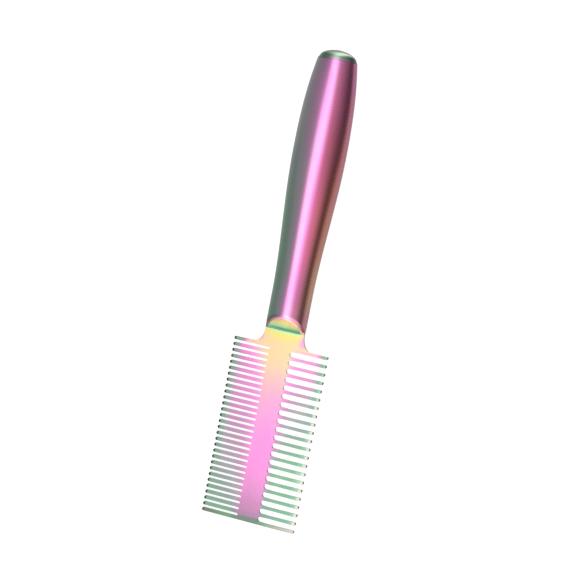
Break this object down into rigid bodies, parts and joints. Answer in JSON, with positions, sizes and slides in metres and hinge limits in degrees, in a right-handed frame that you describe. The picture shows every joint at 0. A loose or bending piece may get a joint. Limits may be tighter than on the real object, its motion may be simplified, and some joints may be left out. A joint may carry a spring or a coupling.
{
  "type": "dematting comb",
  "caption": "Double-sided dematting comb: a flat steel plate with fine teeth on one edge and coarse teeth on the other, on a hollow round handle.",
  "frame": {"origin": "middle of the whole comb's box, on the comb plate's mid-plane", "axes": "+Y along the comb from the toothed end to the handle's butt, +Z square to the comb plate out of its front face, +X towards the coarse teeth"},
  "size_m": [0.0406, 0.197, 0.022],
  "materials": {
    "comb_plate_steel": "rainbow heat-tint coating, peach at the neck to pink, grey and green towards the tips",
    "front_shell_steel": "satin rainbow coating, pink with green-grey and brown flanks",
    "back_shell_steel": "satin rainbow coating, pink with green-grey and brown flanks",
    "front_cheek_steel": "polished rainbow coating, blue-green at the plate to yellow and pink at the rim",
    "back_cheek_steel": "polished rainbow coating, blue-green at the plate to yellow and pink at the rim",
    "butt_cap_steel": "satin rainbow coating, mint green",
    "pin_steel": "plain steel, hidden in the handle"
  },
  "bodies": {
    "root": {"comb_plate": "comb_plate_steel", "handle_shell_front": "front_shell_steel", "handle_shell_back": "back_shell_steel", "nose_cheek_front": "front_cheek_steel", "nose_cheek_back": "back_cheek_steel", "butt_cap": "butt_cap_steel", "tang_pin_1": "pin_steel", "tang_pin_2": "pin_steel"}
  },
  "joints": []
}
